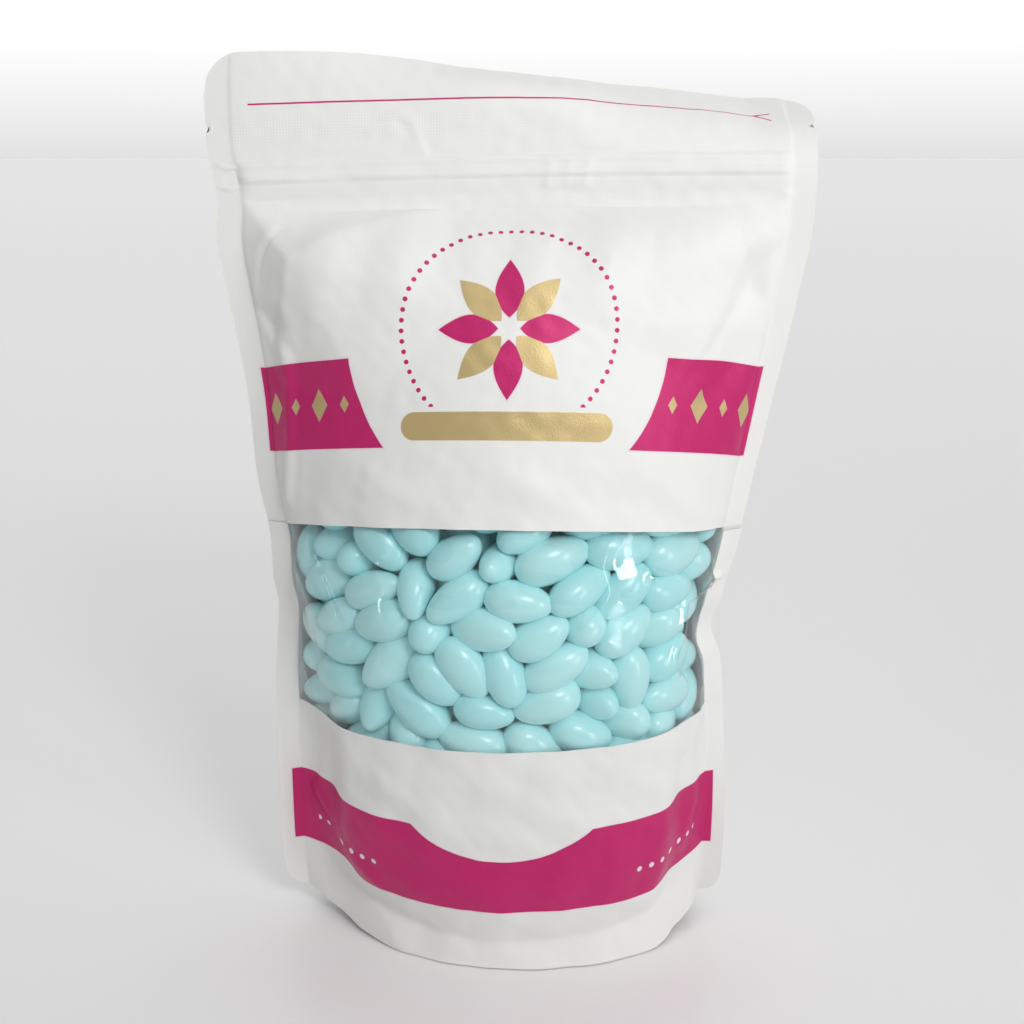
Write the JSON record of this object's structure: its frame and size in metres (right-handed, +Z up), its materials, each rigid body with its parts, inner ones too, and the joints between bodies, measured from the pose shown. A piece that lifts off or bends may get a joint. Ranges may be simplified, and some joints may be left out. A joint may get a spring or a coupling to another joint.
{
  "type": "stand-up pouch of sugared almonds",
  "caption": "Closed stand-up zip pouch with a full-width clear window in its front panel, filled with sugared almonds.",
  "frame": {"origin": "on the surface it stands on, under the middle of the whole part", "axes": "+Z up along the pouch, +X to the right seen from the front, the window faces -Y"},
  "size_m": [0.1914, 0.0854, 0.2978],
  "materials": {
    "paper_film": "matte white laminate, printed",
    "clear_film": "clear glossy film",
    "sugar_shell": "smooth pale blue sugar, satin"
  },
  "bodies": {
    "root": {"pouch": "paper_film", "window_film": "clear_film", "almonds": "sugar_shell"}
  },
  "joints": []
}
